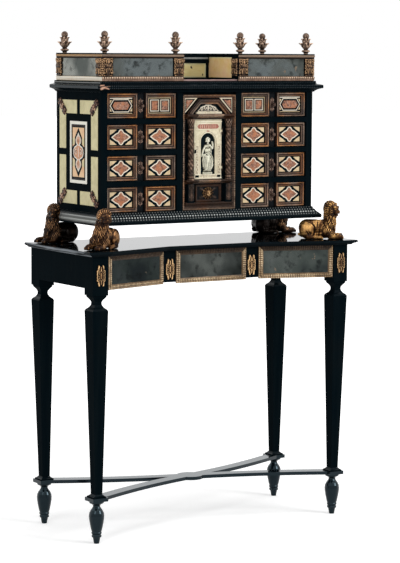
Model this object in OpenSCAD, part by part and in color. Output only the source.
// Collector's coin cabinet with nine drawers and a portal door, carried by four lions on a stand.
// The origin is under the middle of the object, on the floor. The front faces -Y.

/* [Stand] */
// Height of the stand without its lions
stand_h = 893; // [860:1:930]
// Distance between the left and right leg centres
leg_span_x = 880; // [860:1:920]
// Distance between the front and rear leg centres
leg_span_y = 344; // [340:1:370]
// Width of a leg at its top
leg_w = 52.6; // [50:0.2:56]
// Width of a leg at its foot
leg_foot_w = 25.8; // [22:0.2:30]
// How far a leg's foot end stands in from its top, along each side
leg_lean = 3; // [0:0.5:6]
// Height of the frieze, under the top board
frieze_h = 99; // [90:1:110]
// Thickness of the top board
top_t = 15; // [12:0.5:18]
// Overhang of the top board at the front and the sides
top_over = 23.7; // [20:0.1:28]
// How far the middle of the front stands back from the legs
recess_d = 74; // [60:1:80]
// Half the width of the straight middle of the front
recess_half = 172; // [150:1:190]
// Height of the turned feet
foot_h = 131; // [120:1:140]
// Thickness of the stretcher
stretcher_t = 11; // [9:0.5:13]
// Width of a stretcher arm
arm_w = 40; // [34:1:46]
// Radius of the stretcher's round centre
boss_r = 42; // [38:1:50]

/* [Lions] */
// Height of a lion's back, which is the gap between stand and cabinet
lion_gap = 68.7; // [64:0.1:74]
// Distance of a front lion's middle outside the cabinet's side
lion_out_front = 5; // [1:1:9]
// Distance of a rear lion's middle outside the cabinet's side
lion_out_rear = 15; // [13:1:19]
// Distance of the front lions' middle in front of the cabinet's body
lion_before = 30.5; // [26:0.5:35]
// Distance of the rear lions' middle in front of the cabinet's rear
lion_inside = 26.5; // [22:0.5:32]
// Angle by which the front lions turn forward
lion_turn_front = 20; // [10:1:26]
// Angle by which the rear lions turn forward
lion_turn_rear = 12; // [6:1:16]

/* [Cabinet] */
// Width of the cabinet's body
cab_w = 774; // [760:1:790]
// Depth of the cabinet's body
cab_d = 283; // [270:1:290]
// Distance of the body's middle behind the leg frame's middle
cab_back = 35; // [28:1:38]
// Height of the base moulding
base_h = 36.3; // [32:0.1:42]
// Height of the body between base and cornice
body_h = 365; // [350:1:400]
// Height of the cornice with the board under the gallery
cornice_h = 35; // [30:1:40]
// Overhang of the base moulding
base_over = 23.8; // [20:0.1:26]
// Overhang of the cornice
cornice_over = 24.9; // [20:0.1:28]
// Thickness of the side boards
side_t = 22; // [18:1:24]
// Thickness of the back board
back_t = 12; // [10:1:14]

/* [Drawers] */
// Number of drawers in a bank
rows = 4; // [3:1:4]
// Thickness of the dust boards
dust_t = 16; // [14:1:18]
// Depth of a drawer, from front to back
drawer_d = 248; // [200:1:252]
// Thickness of a drawer front
front_t = 12; // [10:1:14]
// Thickness of the drawer sides
wall_t = 8; // [6:1:9]
// Thickness of the drawer bottoms
bottom_t = 6; // [4:0.5:8]
// How far the drawers stand back from the front
drawer_back = 15; // [6:1:18]
// Gap round a drawer
drawer_gap = 0.7; // [0.5:0.1:1]
// Width of the moulding round a drawer field
field_frame_w = 13; // [10:0.5:14]
// Projection of the moulding round a drawer field
field_frame_t = 8; // [6:0.5:10]
// Width of the plain strip between the two fields, which carries the pull
pull_gap = 28; // [20:1:32]

/* [Portal] */
// Half the width of the portal, between the partitions
portal_half = 97; // [96:1:100]
// Thickness of the partitions
partition_t = 21; // [12:1:24]
// How far the portal stands back from the front
portal_back = 10; // [8:1:12]
// Thickness of the portal board
portal_t = 12; // [10:1:14]
// Half the width of the door
door_half = 50; // [46:1:50]
// Height of the door
door_h = 186; // [170:1:188]
// Height of the door's lower edge above the base
door_z = 95; // [94:1:98]
// Thickness of the door
door_t = 12; // [10:1:14]
// Gap round the door
door_gap = 1.5; // [1.3:0.1:1.8]
// Radius of the columns
column_r = 10; // [8:0.5:11]
// Distance of a column from the middle
column_x = 69; // [68:1:70]
// Height of the plinth drawer
plinth_h = 54; // [48:1:55]

/* [Gallery] */
// Height of the gallery
gallery_h = 84.8; // [76:0.1:90]
// Width of the gallery's square posts
post_w = 37; // [34:1:40]
// Step of the gallery's front before the front of the cabinet
gallery_step = 6; // [0:1:10]
// Thickness of the gallery's walls
parapet_t = 12; // [10:1:14]
// Half the width of the opening in the gallery's front
niche_half = 100; // [95:1:105]
// Depth of the opening in the gallery's front
niche_d = 168; // [150:1:175]
// Height of a finial
finial_h = 67; // [60:1:72]

/* [Hidden] */
$fn = 48;

ebony = [0.05, 0.055, 0.065];
gilt = [0.55, 0.38, 0.2];
ripple_gilt = [0.36, 0.24, 0.14];
antique_mirror = [0.3, 0.33, 0.33];
bone = [0.82, 0.8, 0.62];
ivory = [0.86, 0.8, 0.66];
pale_wood = [0.8, 0.66, 0.36];
drawer_wood = [0.4, 0.27, 0.17];

// Clearance between a seated piece and its bed
seat = 0.1;
// Depth by which a moulding is let into the board that it is cut from
lap = 0.2;
// Depth of an inlay's bed and how far the inlay stands proud of the board
bed_d = 2;
proud = 0.6;

// The leg frame's middle stands behind the origin, because the top overhangs at the front only
y_mid = top_over / 2;
leg_x = leg_span_x / 2;
leg_y = leg_span_y / 2;
half_w = leg_w / 2;
plate_z = foot_h + stretcher_t;
frieze_top = stand_h - top_t;
frieze_z = frieze_top - frieze_h;
block_z = frieze_z - 20;
taper_z = block_z - 49;
rail_t = 18;
frieze_t = 22;
front_y = y_mid - leg_y - half_w;
recess_y = front_y + recess_d;
inner_x = leg_x - half_w;
facet_len = norm([inner_x - recess_half, recess_d]);
facet_angle = atan(recess_d / (inner_x - recess_half));
frame_set = 6;
pilaster_w = 43;
frieze_frame_w = 12;

cab_z = stand_h + lion_gap;
body_z = cab_z + base_h;
body_top = body_z + body_h;
cab_top = body_top + cornice_h;
cab_y = y_mid + cab_back;
cab_front = cab_y - cab_d / 2;
cab_rear = cab_y + cab_d / 2;
bay_in = portal_half + partition_t;
bay_out = cab_w / 2 - side_t;
bay_w = bay_out - bay_in;
bay_mid = (bay_in + bay_out) / 2;
bay_h = (body_h - (rows - 1) * dust_t) / rows;
bay_pitch = bay_h + dust_t;
drawer_w = bay_w - 2 * drawer_gap;
drawer_h = bay_h - 2 * drawer_gap;
field_w = (drawer_w - pull_gap) / 2;

portal_y = cab_front + portal_back;
door_z0 = body_z + door_z;
shelf_t = 10;
shelf_z = door_z0 - 5 - shelf_t;
plinth_z = shelf_z - door_gap - plinth_h;
plinth_half = 47;
plinth_d = 200;
portal_frame_w = 10;
portal_base_h = 13;
hinge_r = 2;
hinge_pin_r = 0.9;
hinge_h = 8;
hinge_x = door_half + 0.6;
hinge_y = portal_y - hinge_r - 0.4;

gallery_top = cab_top + gallery_h;
gal_front = cab_front - gallery_step;
rail_low = 14;
rail_high = 15;
cap_w = 22;
post_in = post_w / 2;

// Mirrored pairs: the right one is drawn, then both sides
module pair() {
    children();
    mirror([1, 0, 0]) children();
}

module box(low, high) {
    translate(low) cube(high - low);
}

// A block whose section is moulded along X and along Y, so that its corners are mitred
module moulded_block(profile_x, profile_y) {
    reach = 2000;
    intersection() {
        translate([0, reach / 2, 0]) rotate([90, 0, 0]) linear_extrude(reach) polygon(profile_x);
        translate([-reach / 2, 0, 0]) rotate([90, 0, 90]) linear_extrude(reach) polygon(profile_y);
    }
}

// Outline that is symmetric about x = 0, from its right half
function both_sides(half) = concat(half, [for (i = [len(half) - 1:-1:0]) [-half[i][0], half[i][1]]]);

// Section of a ripple moulding: w wide, t high, stepped down from its crest towards the field
function moulding_section(w, t) = [[0, 0], [w, 0], [w, 0.3 * t], [0.86 * w, 0.42 * t], [0.7 * w, 0.5 * t],
    [0.62 * w, 0.74 * t], [0.44 * w, 0.8 * t], [0.34 * w, t], [0.12 * w, t], [0, 0.82 * t]];

module frame_side(length, w, t) {
    intersection() {
        rotate([90, 0, 90]) linear_extrude(length) polygon(moulding_section(w, t));
        linear_extrude(t) polygon([[0, 0], [length, 0], [length - w, w], [w, w]]);
    }
}

// Mitred frame that stands on the plane y = 0 and faces -Y, centred on x = 0 and z = 0
module mitred_frame(length, height, w, t) {
    rotate([90, 0, 0]) {
        for (a = [0, 180])
            rotate(a) translate([-length / 2, -height / 2]) frame_side(length, w, t);
        for (a = [90, 270])
            rotate(a) translate([-height / 2, -length / 2]) frame_side(height, w, t);
    }
}

// Stand: plan of the front, moved forward by grow
function front_plan(grow) = [[inner_x - grow * tan(facet_angle / 2), front_y - grow],
    [recess_half - grow * tan(facet_angle / 2), recess_y - grow]];

module top_slab(z0, z1, over) {
    side = leg_x + half_w + over;
    f = front_plan(over);
    rear = y_mid + leg_y + half_w;
    translate([0, 0, z0]) linear_extrude(z1 - z0)
        polygon(both_sides([[side, rear], [side, front_y - over], f[0], f[1]]));
}

module stand_top() {
    color(ebony) {
        top_slab(frieze_top, frieze_top + 0.2 * top_t, top_over - 13);
        top_slab(frieze_top + 0.2 * top_t, frieze_top + 0.36 * top_t, top_over - 9.5);
        top_slab(frieze_top + 0.36 * top_t, frieze_top + 0.5 * top_t, top_over - 4.5);
        top_slab(frieze_top + 0.5 * top_t, frieze_top + 0.9 * top_t, top_over);
        top_slab(frieze_top + 0.9 * top_t, stand_h, top_over - 1.5);
    }
}

module frieze_front() {
    f = front_plan(-frame_set);
    b = front_plan(-frame_set - frieze_t);
    low = [inner_x - seat, f[0][1] + (f[0][0] - inner_x + seat) * tan(facet_angle)];
    back = [inner_x - seat, b[0][1] + (b[0][0] - inner_x + seat) * tan(facet_angle)];
    color(ebony) translate([0, 0, frieze_z]) linear_extrude(frieze_h - seat)
        polygon(concat(both_sides([low, f[1]]), both_sides([[-back[0], back[1]], [-b[1][0], b[1][1]]])));
}

module side_rail() {
    box([leg_x + half_w - rail_t, y_mid - leg_y + half_w + seat, frieze_z],
        [leg_x + half_w, y_mid + leg_y - half_w - seat, frieze_top - seat]);
}

module frieze_left() {
    color(ebony) mirror([1, 0, 0]) side_rail();
}

module frieze_right() {
    color(ebony) side_rail();
}

module frieze_back() {
    color(ebony) box([-inner_x + seat, y_mid + leg_y + half_w - rail_t, frieze_z],
        [inner_x - seat, y_mid + leg_y + half_w, frieze_top - seat]);
}

// Outline of a leg seen from one side: half widths at their heights, and the inward lean of the foot end
function leg_half() = [[22, plate_z], [22, plate_z + 3], [17, plate_z + 6], [leg_foot_w / 2, plate_z + 10],
    [half_w, taper_z], [half_w, taper_z + 2.5], [half_w - 3, taper_z + 7], [half_w - 10, taper_z + 13],
    [half_w - 14, taper_z + 20], [11.5, taper_z + 26], [12.5, taper_z + 31], [15.5, taper_z + 36],
    [20.5, taper_z + 42], [22.5, taper_z + 45], [22.5, block_z], [half_w, block_z],
    [half_w, frieze_top - seat]];
function lean_at(z) = leg_lean * max(0, (taper_z - z) / (taper_z - plate_z));
function leg_outline() = let (h = leg_half()) concat([for (p = h) [p[0] - lean_at(p[1]), p[1]]],
    [for (i = [len(h) - 1:-1:0]) [-h[i][0] - lean_at(h[i][1]), h[i][1]]]);

// The rear right leg; the others are its mirror images
module leg() {
    color(ebony) translate([leg_x, leg_y, 0]) moulded_block(leg_outline(), leg_outline());
}

module place_leg(sx, sy) {
    translate([0, y_mid, 0]) mirror([sx < 0 ? 1 : 0, 0, 0]) mirror([0, sy < 0 ? 1 : 0, 0]) leg();
}

module leg_front_left() {
    place_leg(-1, -1);
}

module leg_front_right() {
    place_leg(1, -1);
}

module leg_rear_left() {
    place_leg(-1, 1);
}

module leg_rear_right() {
    place_leg(1, 1);
}

foot_x = leg_x - leg_lean;
foot_y = leg_y - leg_lean;

// Turned foot: radii at their heights, as shares of the foot's height
function foot_profile() = [[0, 0], [8.3, 0], [11.5, 0.13], [12.5, 0.145], [15, 0.155], [15.3, 0.19],
    [13.8, 0.205], [13.8, 0.215], [15.6, 0.23], [15.9, 0.26], [14.9, 0.275], [17.5, 0.34], [21, 0.47],
    [23.2, 0.58], [23.8, 0.65], [22.5, 0.72], [18.5, 0.785], [13.5, 0.835], [11, 0.87], [11.5, 0.9],
    [16, 0.93], [22, 0.955], [23.5, 1], [0, 1]];

module feet() {
    color(ebony)
        for (x = [-foot_x, foot_x], y = [-foot_y, foot_y])
            translate([x, y_mid + y, 0]) rotate_extrude($fn = 64)
                polygon([for (p = foot_profile()) [p[0], p[1] * foot_h]]);
}

// Middle line of a stretcher arm: height in plan over the distance from the middle
function arm_line(x) = 0.24 * x + (foot_y / foot_x - 0.24) * x * x / foot_x;
function arm_slope(x) = 0.24 + 2 * (foot_y / foot_x - 0.24) * x / foot_x;
arm_steps = [for (i = [0:12]) foot_x * i / 12];
function arm_edge(x, s) = [x, arm_line(x)] + s * arm_w / 2 * [-arm_slope(x), 1] / norm([1, arm_slope(x)]);

module stretcher() {
    color(ebony) translate([0, y_mid, foot_h]) {
        for (sx = [0, 1], sy = [0, 1])
            mirror([sx, 0, 0]) mirror([0, sy, 0]) {
                linear_extrude(stretcher_t) polygon(concat([for (x = arm_steps) arm_edge(x, 1)],
                    [for (i = [len(arm_steps) - 1:-1:0]) arm_edge(arm_steps[i], -1)]));
                translate([foot_x - half_w, foot_y - half_w, 0]) cube([leg_w, leg_w, stretcher_t]);
            }
        cylinder(r = boss_r, h = stretcher_t);
    }
}

// The three mirror fields of the frieze: each is moved to its facet, facing -Y
panel_mid_w = 2 * (recess_half - pilaster_w);
panel_h = frieze_h - 1;
module on_facets() {
    translate([0, recess_y + frame_set, frieze_z + frieze_h / 2]) children(0);
    for (s = [-1, 1])
        translate([s * (recess_half + inner_x) / 2, (recess_y + front_y) / 2, frieze_z + frieze_h / 2])
            rotate(-s * facet_angle) translate([0, frame_set, 0]) children(1);
}

module field_plate(w) {
    box([-w / 2 + frieze_frame_w + seat, -3, -panel_h / 2 + frieze_frame_w + seat],
        [w / 2 - frieze_frame_w - seat, 0, panel_h / 2 - frieze_frame_w - seat]);
}

module frieze_mirrors() {
    color(antique_mirror) on_facets() {
        field_plate(panel_mid_w);
        field_plate(facet_len - 6);
    }
}

module frieze_frames() {
    color(ripple_gilt) on_facets() {
        mitred_frame(panel_mid_w, panel_h, frieze_frame_w, 6);
        mitred_frame(facet_len - 6, panel_h, frieze_frame_w, 6);
    }
}

// Oval mount with a raised middle and a scroll at each end
module oval_mount() {
    rotate([90, 0, 0]) {
        translate([0, 9, 0]) cylinder(r = 15, h = 4);
        translate([0, -9, 0]) cylinder(r = 15, h = 4);
        translate([-15, -9, 0]) cube([30, 18, 4]);
        translate([0, 0, 4]) cylinder(r = 10, h = 3);
        for (s = [-1, 1]) translate([0, s * 27, 0]) cylinder(r = 7, h = 5);
    }
}

module frieze_mounts() {
    mount_z = frieze_z + 0.42 * frieze_h;
    color(gilt) {
        for (s = [-1, 1]) translate([s * leg_x, front_y, mount_z]) oval_mount();
        for (s = [-1, 1])
            translate([s * (recess_half - pilaster_w / 2), recess_y + frame_set, mount_z]) oval_mount();
    }
}

// Lions
module ball(p, r) {
    translate(p) sphere(r = r, $fn = 14);
}

module limb(p, rp, q, rq) {
    hull() {
        ball(p, rp);
        ball(q, rq);
    }
}

// Height of the back for which the lion's numbers are drawn
drawn_gap = 68.7;

// A lion lying on z = 0, facing +X, with its head turned to -Y; its back carries the cabinet
module lion() {
    intersection() {
        union() {
            limb([-38, 0, 36], 28, [20, 0, 44], 25);
            for (s = [-1, 1]) {
                limb([-40, s * 15, 29], 19, [-20, s * 18, 21], 12);
                limb([-32, s * 24, 8], 8, [0, s * 26, 7], 7);
                limb([34, s * 17, 22], 13, [38, s * 19, 9], 9);
                limb([38, s * 19, 9], 9, [70, s * 19, 9], 10);
            }
            limb([-60, 10, 8], 5, [-38, 31, 6], 5);
        }
        box([-90, -60, 0], [110, 60, drawn_gap]);
    }
    intersection() {
        union() {
            limb([35, -3, 40], 27, [39, -20, 78], 22);
            limb([38, -24, 98], 25, [44, -29, 96], 23);
            limb([48, -34, 96], 16, [60, -42, 89], 11);
        }
        box([10, -90, 6], [110, 60, 160]);
    }
}

module front_lion() {
    color(gilt) translate([cab_w / 2 + lion_out_front, cab_front - lion_before, stand_h])
        rotate(-lion_turn_front) scale(lion_gap / drawn_gap) lion();
}

module rear_lion() {
    color(gilt) translate([cab_w / 2 + lion_out_rear, cab_rear - lion_inside, stand_h])
        rotate(-lion_turn_rear) scale(lion_gap / drawn_gap) lion();
}

module lion_front_left() {
    mirror([1, 0, 0]) front_lion();
}

module lion_front_right() {
    front_lion();
}

module lion_rear_left() {
    mirror([1, 0, 0]) rear_lion();
}

module lion_rear_right() {
    rear_lion();
}

// Cabinet case
function base_half(x) = [[x + base_over, cab_z], [x + base_over, cab_z + 9],
    [x + base_over - 2.5, cab_z + 12], [x + base_over - 8, cab_z + 17], [x + base_over - 13, cab_z + 21],
    [x + base_over - 15, cab_z + 25], [x + 5, cab_z + 29], [x + 3.5, cab_z + 32],
    [x + 3.5, cab_z + base_h - 2], [x, body_z]];
function front_only(half, rear) = concat([[rear, half[0][1]], [rear, half[len(half) - 1][1]]],
    [for (i = [len(half) - 1:-1:0]) [2 * cab_y - half[i][0], half[i][1]]]);

module cabinet_base() {
    color(ebony)
        moulded_block(both_sides(base_half(cab_w / 2)), front_only(base_half(cab_rear), cab_rear));
}

function cornice_half(x) = [[x, body_top], [x + 4, body_top + 1], [x + 6, body_top + 4],
    [x + 12, body_top + 8], [x + 20, body_top + 11], [x + cornice_over, body_top + 12],
    [x + cornice_over, body_top + 22], [x + cornice_over - 5, body_top + 23.5],
    [x + gallery_step + 6, body_top + 25], [x + gallery_step + 2, body_top + 27.5],
    [x + gallery_step + 2, cab_top]];

module cornice() {
    color(ebony)
        moulded_block(both_sides(cornice_half(cab_w / 2)), front_only(cornice_half(cab_rear), cab_rear));
}

// Inlay of a side: its pieces are rectangles, whose low and high corners are given as y and z from the
// side's front lower corner
band_y0 = 20;
band_y1 = cab_d - 20;
band_z0 = 20;
band_z1 = body_h - 24;
band_w = 42;
bar = 20;
mid_y = (band_y0 + band_y1) / 2;
mid_z = (band_z0 + band_z1) / 2;
core_y0 = band_y0 + 75;
core_y1 = band_y1 - 60;
core_z0 = band_z0 + 65;
core_z1 = band_z1 - 65;
border_w = 10;
inlay_rects = [
    [[band_y0, band_z0], [mid_y - bar / 2, band_z0 + band_w]],
    [[mid_y + bar / 2, band_z0], [band_y1, band_z0 + band_w]],
    [[band_y0, band_z1 - band_w], [mid_y - bar / 2, band_z1]],
    [[mid_y + bar / 2, band_z1 - band_w], [band_y1, band_z1]],
    [[band_y0, band_z0 + band_w], [band_y0 + band_w, mid_z - bar / 2]],
    [[band_y0, mid_z + bar / 2], [band_y0 + band_w, band_z1 - band_w]],
    [[band_y1 - band_w, band_z0 + band_w], [band_y1, mid_z - bar / 2]],
    [[band_y1 - band_w, mid_z + bar / 2], [band_y1, band_z1 - band_w]],
    [[core_y0, core_z0], [core_y1, core_z0 + border_w]],
    [[core_y0, core_z1 - border_w], [core_y1, core_z1]],
    [[core_y0, core_z0 + border_w], [core_y0 + border_w, core_z1 - border_w]],
    [[core_y1 - border_w, core_z0 + border_w], [core_y1, core_z1 - border_w]],
    [[core_y0 + border_w + 7, core_z0 + border_w + 8], [core_y1 - border_w - 8, core_z1 - border_w - 10]]];

// Shapes on the right side: r holds two corners, from x0 inside the board to x1 outside it
module side_rect(r, x0, x1, gap) {
    box([x0, cab_front + r[0][0] + gap, body_z + r[0][1] + gap],
        [x1, cab_front + r[1][0] - gap, body_z + r[1][1] - gap]);
}

module right_side() {
    face = cab_w / 2;
    color(ebony) difference() {
        box([face - side_t, cab_front, body_z + seat], [face, cab_rear, body_top - seat]);
        for (r = inlay_rects) side_rect(r, face - bed_d, face + 1, 0);
    }
}

module right_inlay() {
    face = cab_w / 2;
    color(bone)
        for (r = inlay_rects) side_rect(r, face - bed_d, face + proud, 0.15);
}

module side_right() {
    right_side();
}

module side_left() {
    mirror([1, 0, 0]) right_side();
}

module inlay_right() {
    right_inlay();
}

module inlay_left() {
    mirror([1, 0, 0]) right_inlay();
}

// Carved mount that lies across the mitre of the bone bands
module corner_mount() {
    for (u = [-15, 0, 15]) translate([0, u, 0]) cylinder(r = u == 0 ? 9 : 8, h = u == 0 ? 6 : 4.5);
}

module corner_mounts() {
    face = cab_w / 2 + proud;
    inset = band_w / 2;
    color(gilt) pair()
        for (sy = [-1, 1], sz = [-1, 1])
            translate([face, cab_front + mid_y + sy * (mid_y - band_y0 - inset),
                body_z + mid_z + sz * (mid_z - band_z0 - inset)])
                rotate([sy * sz * 45 - 90, 0, 0]) rotate([0, 90, 0]) corner_mount();
}

module cabinet_back() {
    color(drawer_wood) box([-bay_out + seat, cab_rear - back_t, body_z + seat],
        [bay_out - seat, cab_rear, body_top - seat]);
}

// Everything inside the case ends in front of the back board
inside_rear = cab_rear - back_t - seat;

module partitions() {
    color(ebony) pair()
        box([portal_half, cab_front, body_z + seat], [bay_in, inside_rear, body_top - seat]);
}

module dust_boards() {
    color(ebony) {
        pair()
            for (i = [1:rows - 1])
                box([bay_in + seat, cab_front, body_z + i * bay_pitch - dust_t],
                    [bay_out - seat, inside_rear, body_z + i * bay_pitch]);
        box([-portal_half + seat, portal_y + portal_t + seat, shelf_z],
            [portal_half - seat, inside_rear, shelf_z + shelf_t]);
    }
}

// Drawers
module drawer_box(w, h, d) {
    difference() {
        box([-w / 2, 0, 0], [w / 2, d, h]);
        box([-w / 2 + wall_t, front_t, bottom_t], [w / 2 - wall_t, d - wall_t, h + 1]);
        box([-w / 2 - 1, front_t, h - 8], [w / 2 + 1, d + 1, h + 1]);
    }
}

// Row 1 is the top one; side is -1 for the left bank and 1 for the right
function row_z(row) = body_z + (rows - row) * bay_pitch + drawer_gap;

module place_drawer(side, row) {
    translate([side * bay_mid, cab_front + drawer_back, row_z(row)]) children();
}

module drawer(side, row) {
    color(drawer_wood) place_drawer(side, row) {
        drawer_box(drawer_w, drawer_h, drawer_d);
        for (s = [-1, 1])
            translate([s * (pull_gap + field_w) / 2, lap, drawer_h / 2])
                mitred_frame(field_w, drawer_h, field_frame_w, field_frame_t + lap);
    }
}

// Scrolled escutcheon plate with a turned knob
module pull(side, row) {
    color(gilt) place_drawer(side, row) translate([0, 0, drawer_h / 2]) rotate([90, 0, 0]) {
        for (u = [-18, -9, 9, 18]) translate([0, u, 0]) cylinder(r = abs(u) == 18 ? 5 : 7.5, h = 1.6);
        cylinder(r = 9, h = 2);
        rotate_extrude() polygon([[0, 0], [3.4, 0], [3.4, 4.5], [2.4, 6], [2.4, 8], [4.4, 9.5], [6.2, 12],
            [6.4, 14], [5, 16.5], [2.5, 18], [0, 18.4]]);
    }
}

module drawer_l1() {
    drawer(-1, 1);
}

module drawer_l2() {
    drawer(-1, 2);
}

module drawer_l3() {
    drawer(-1, 3);
}

module drawer_l4() {
    drawer(-1, 4);
}

module drawer_r1() {
    drawer(1, 1);
}

module drawer_r2() {
    drawer(1, 2);
}

module drawer_r3() {
    drawer(1, 3);
}

module drawer_r4() {
    drawer(1, 4);
}

module pull_l1() {
    pull(-1, 1);
}

module pull_l2() {
    pull(-1, 2);
}

module pull_l3() {
    pull(-1, 3);
}

module pull_l4() {
    pull(-1, 4);
}

module pull_r1() {
    pull(1, 1);
}

module pull_r2() {
    pull(1, 2);
}

module pull_r3() {
    pull(1, 3);
}

module pull_r4() {
    pull(1, 4);
}

// Portal: parts stand on the board's face and project towards -Y
module on_portal(x0, z0, x1, z1, t) {
    box([x0, portal_y - t, z0], [x1, portal_y, z1]);
}

frame_z0 = body_z + 0.5;
frame_z1 = body_top - 7;
cornice_z = door_z0 + door_h + 2;
pediment_z = cornice_z + 15;
pedestal_w = 23;
portal_base_z = frame_z0 + portal_frame_w;
portal_in = portal_half - portal_frame_w;
// Corner points of the three-sided pediment, for a line at distance u outside its inner edge
function pediment_half(u) = [[0.64 * portal_half + 0.95 * u, pediment_z],
    [0.64 * portal_half + 0.95 * u, pediment_z + 6],
    [0.32 * portal_half + 0.42 * u, pediment_z + 0.32 * portal_half + u]];

module pediment() {
    translate([0, portal_y, 0]) rotate([90, 0, 0]) {
        linear_extrude(7) difference() {
            polygon(both_sides(pediment_half(15)));
            polygon(both_sides(pediment_half(0)));
        }
        linear_extrude(10) difference() {
            polygon(both_sides(pediment_half(11)));
            polygon(both_sides(pediment_half(5)));
        }
    }
}

// Straight cornice on the portal, with a moulded front edge and mitred ends
module string_course(half, z, h, t) {
    section = [[0, 0], [0.45 * t, 0], [0.55 * t, 0.3 * h], [0.8 * t, 0.55 * h], [t, 0.65 * h], [t, h],
        [0, h]];
    translate([-half, portal_y, z]) rotate([90, 0, 90]) linear_extrude(2 * half)
        polygon([for (p = section) [-p[0], p[1]]]);
}

module portal() {
    hole = door_half + door_gap;
    color(ebony) {
        difference() {
            box([-portal_half + seat, portal_y, body_z + seat],
                [portal_half - seat, portal_y + portal_t, body_top - seat]);
            box([-hole, portal_y - 1, door_z0 - door_gap],
                [hole, portal_y + portal_t + 1, door_z0 + door_h + door_gap]);
            box([-plinth_half - drawer_gap, portal_y - 1, plinth_z - drawer_gap],
                [plinth_half + drawer_gap, portal_y + portal_t + 1, plinth_z + plinth_h + drawer_gap]);
        }
        translate([0, portal_y, (frame_z0 + frame_z1) / 2])
            mitred_frame(2 * portal_half - 0.6, frame_z1 - frame_z0, portal_frame_w, 9);
        string_course(portal_in, portal_base_z, portal_base_h, 12);
        string_course(portal_in, door_z0 - 13, 11, 16);
        string_course(portal_in, cornice_z, 14, 20);
        pediment();
        for (s = [-1, 1])
            on_portal(s * column_x - pedestal_w / 2, portal_base_z + portal_base_h,
                s * column_x + pedestal_w / 2, door_z0 - 13, 14);
    }
}

// Carved column with base, necking rings and capital
column_z0 = door_z0 - 2;
column_len = cornice_z - column_z0;
function column_profile() = [[0, 0], [11, 0], [11, 0.02], [9.6, 0.035], [10.4, 0.06], [8.6, 0.075],
    [8.8, 0.09], [9.6, 0.16], [8.2, 0.24], [9.2, 0.3], [9.2, 0.33], [8, 0.36], [8.6, 0.55], [7.6, 0.78],
    [8.8, 0.8], [7.6, 0.82], [8.2, 0.86], [10.6, 0.93], [11, 0.95], [11, 1], [0, 1]];

module columns() {
    color(gilt)
        for (s = [-1, 1])
            translate([s * column_x, portal_y - 11.2, column_z0 + seat / 2])
                rotate_extrude()
                    polygon([for (p = column_profile())
                        [p[0] * column_r / 10, p[1] * (column_len - seat)]]);
}

// Door: panel with an arched niche, and the middle knuckle of each hinge
niche_w = 0.54 * door_half;
niche_z0 = 0.08 * door_h;
niche_z1 = 0.63 * door_h;

module door() {
    color(ivory) difference() {
        box([-door_half, portal_y, door_z0], [door_half, portal_y + door_t, door_z0 + door_h]);
        translate([0, portal_y + 5, door_z0]) rotate([90, 0, 0]) {
            translate([-niche_w, niche_z0, 0]) cube([2 * niche_w, niche_z1 - niche_z0, 10]);
            translate([0, niche_z1, 0]) cylinder(r = niche_w, h = 10);
        }
    }
    color(gilt) for (z = hinge_zs())
        translate([hinge_x, hinge_y, z + hinge_h + 0.3]) {
            difference() {
                union() {
                    cylinder(r = hinge_r, h = hinge_h - 0.6);
                    translate([-8, 0, 0]) cube([8, hinge_r + 0.4, hinge_h - 0.6]);
                }
                translate([0, 0, -1]) cylinder(r = hinge_pin_r + 0.08, h = hinge_h + 2);
            }
        }
}

function hinge_zs() = [door_z0 + 24, door_z0 + door_h - 24 - 3 * hinge_h];

// Fixed knuckles above and below, with the pin between them
module door_hinges() {
    color(gilt)
        for (z = hinge_zs()) {
            for (k = [0, 2])
                translate([hinge_x, hinge_y, z + k * hinge_h]) {
                    cylinder(r = hinge_r, h = hinge_h);
                    translate([1.2, 0, 0]) cube([5.2, hinge_r + 0.4, hinge_h]);
                }
            translate([hinge_x, hinge_y, z + 1]) cylinder(r = hinge_pin_r, h = 3 * hinge_h - 2);
        }
}

// Draped standing figure on a small base, turned and cut flat behind
module door_figure() {
    base = portal_y + 5;
    color(ivory) intersection() {
        translate([0, base, door_z0 + niche_z0 + seat]) scale(door_h / 186) rotate_extrude($fn = 32)
            polygon([[0, 0], [17, 0], [17, 5], [12, 7], [15, 10], [14, 30], [12, 55], [14, 68], [15, 80],
                [11, 88], [5, 91], [5, 94], [8, 98], [8.5, 104], [6.5, 110], [0, 113]]);
        box([-40, base - 30, door_z0], [40, base - seat, door_z0 + door_h]);
    }
}

module plinth_drawer() {
    color(ebony) translate([0, portal_y, plinth_z]) {
        drawer_box(2 * plinth_half, plinth_h, plinth_d);
        translate([0, 0, plinth_h / 2]) mitred_frame(2 * plinth_half, plinth_h, 7, 5);
    }
}

// Round mask in a ruff of eight leaves, which serves as the drawer's pull
module mask() {
    color(gilt) translate([0, portal_y, plinth_z + plinth_h / 2]) rotate([90, 0, 0]) {
        for (a = [22.5:45:360]) rotate(a) translate([11, 0, 0]) cylinder(r = 4, h = 3.5);
        rotate_extrude() polygon([[0, 0], [10.5, 0], [10.5, 8], [8.8, 10.6], [5, 12.6], [0, 13]]);
    }
}

// Gallery: the walls of one side stand on the cornice, in plan front, side and return
function wall_plan(t) = let (i = inset_of(t), o = i + t, side = cab_w / 2) [[niche_half, gal_front + i],
    [side - i, gal_front + i], [side - i, cab_rear], [side - o, cab_rear], [side - o, gal_front + o],
    [niche_half + o, gal_front + o], [niche_half + o, cab_front + niche_d],
    [niche_half + i, cab_front + niche_d], [niche_half + i, gal_front + i]];
// The walls share one middle line, so a thinner one stands further in
function inset_of(t) = (18 - t) / 2;

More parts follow.
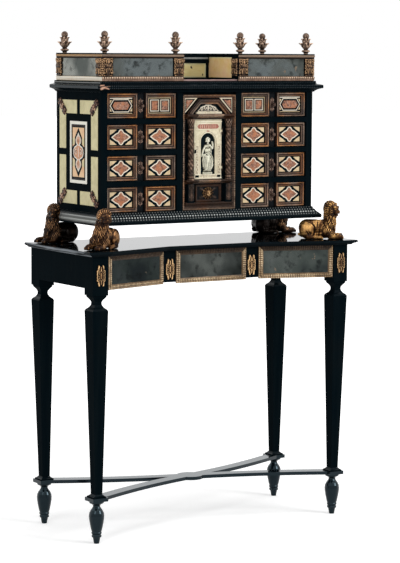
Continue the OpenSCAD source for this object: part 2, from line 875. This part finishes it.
module gallery_walls() {
    color(ebony) {
        translate([0, 0, cab_top]) linear_extrude(rail_low) polygon(wall_plan(18));
        translate([0, 0, cab_top]) linear_extrude(gallery_h - rail_high) polygon(wall_plan(parapet_t));
        translate([0, 0, gallery_top - rail_high]) linear_extrude(rail_high - 4) polygon(wall_plan(18));
        translate([0, 0, gallery_top - 4]) linear_extrude(4) polygon(wall_plan(cap_w));
        for (p = post_places())
            translate([p[0] - post_in, p[1] - post_in, cab_top]) cube([post_w, post_w, gallery_h]);
    }
}

// Middles of the posts on the right side: front corner, rear corner, and beside the opening
function post_places() = [[cab_w / 2 - post_in, gal_front + post_in],
    [cab_w / 2 - post_in, cab_rear - post_in], [niche_half + post_in, gal_front + post_in]];

module gallery_right() {
    gallery_walls();
}

module gallery_left() {
    mirror([1, 0, 0]) gallery_walls();
}

module gallery_back() {
    rear_x = cab_w / 2 - post_w - seat;
    header_half = niche_half + inset_of(cap_w) - seat;
    color(ebony) {
        box([-niche_half - 3 + seat, cab_front + niche_d + seat, cab_top],
            [niche_half + 3 - seat, cab_front + niche_d + 14, gallery_top]);
        box([-header_half, cab_front + niche_d - 6, gallery_top - 30],
            [header_half, cab_front + niche_d + seat, gallery_top]);
        box([-rear_x, cab_rear - parapet_t, cab_top], [rear_x, cab_rear, gallery_top]);
    }
}

// Plates on the outside of the gallery walls, between the posts
panel_z0 = cab_top + rail_low + 0.5;
panel_z1 = gallery_top - rail_high - 0.5;
plate_t = 2.5;

module gallery_mirrors() {
    wall_in = inset_of(parapet_t);
    color(antique_mirror) pair() {
        box([niche_half + post_w + 1, gal_front + wall_in - plate_t, panel_z0],
            [cab_w / 2 - post_w - 1, gal_front + wall_in - seat, panel_z1]);
        box([cab_w / 2 - wall_in + seat, gal_front + post_w + 1, panel_z0],
            [cab_w / 2 - wall_in + plate_t, cab_rear - post_w - 1, panel_z1]);
    }
}

module gallery_panels() {
    wall_in = inset_of(parapet_t);
    color(pale_wood) {
        pair()
            box([niche_half + wall_in - plate_t, gal_front + post_w + 1, panel_z0],
                [niche_half + wall_in - seat, cab_front + niche_d - 8, panel_z1]);
        box([-niche_half + 14, cab_front + niche_d - plate_t, panel_z0],
            [niche_half - 14, cab_front + niche_d, gallery_top - 31]);
    }
}

// Term: a tapered pilaster that ends in a draped half figure, seen from the front
module term() {
    tall = gallery_h - rail_low - rail_high - 1;
    rotate([90, 0, 0]) {
        linear_extrude(6) polygon(both_sides([[11, 0], [11, 5], [9, 6], [11, 0.5 * tall], [14.5, 0.56 * tall],
            [16, 0.7 * tall], [12, 0.76 * tall], [5, 0.78 * tall]]));
        translate([0, 0.87 * tall, 0]) cylinder(r = 6.5, h = 10);
        translate([-15, 0.95 * tall, 0]) cube([30, 0.05 * tall, 7]);
    }
}

module gallery_terms() {
    z = cab_top + rail_low + 0.5;
    color(gilt) pair() {
        translate([cab_w / 2 - post_in, gal_front, z]) term();
        translate([niche_half + post_in, gal_front, z]) term();
        translate([niche_half, gal_front + post_in, z]) rotate(-90) term();
        translate([cab_w / 2, gal_front + post_in, z]) rotate(90) term();
        translate([cab_w / 2, cab_rear - post_in, z]) rotate(90) term();
    }
}

// Finial: round foot, two tiers of leaves and a pine cone, as radii at shares of the height
function finial_profile() = [[0, 0], [13, 0], [13, 0.04], [10.5, 0.08], [11.5, 0.12], [6, 0.17],
    [4, 0.24], [5.5, 0.3], [10, 0.36], [20, 0.45], [24.5, 0.46], [24.5, 0.49], [15, 0.53], [8, 0.57],
    [8.5, 0.62], [14, 0.68], [17, 0.7], [17, 0.72], [11, 0.75], [10.5, 0.8], [11, 0.86], [8, 0.94],
    [3, 0.99], [0, 1]];

module finials() {
    color(gilt) pair()
        for (p = post_places())
            translate([p[0], p[1], gallery_top]) rotate_extrude()
                polygon([for (q = finial_profile()) [q[0], q[1] * finial_h]]);
}

stand_top();
frieze_front();
frieze_left();
frieze_right();
frieze_back();
leg_front_left();
leg_front_right();
leg_rear_left();
leg_rear_right();
feet();
stretcher();
frieze_mirrors();
frieze_frames();
frieze_mounts();
lion_front_left();
lion_front_right();
lion_rear_left();
lion_rear_right();
cabinet_base();
side_left();
side_right();
cabinet_back();
cornice();
partitions();
dust_boards();
inlay_left();
inlay_right();
corner_mounts();
portal();
columns();
door_hinges();
gallery_left();
gallery_right();
gallery_back();
gallery_mirrors();
gallery_panels();
gallery_terms();
finials();
drawer_l1();
drawer_l2();
drawer_l3();
drawer_l4();
drawer_r1();
drawer_r2();
drawer_r3();
drawer_r4();
pull_l1();
pull_l2();
pull_l3();
pull_l4();
pull_r1();
pull_r2();
pull_r3();
pull_r4();
door();
door_figure();
plinth_drawer();
mask();
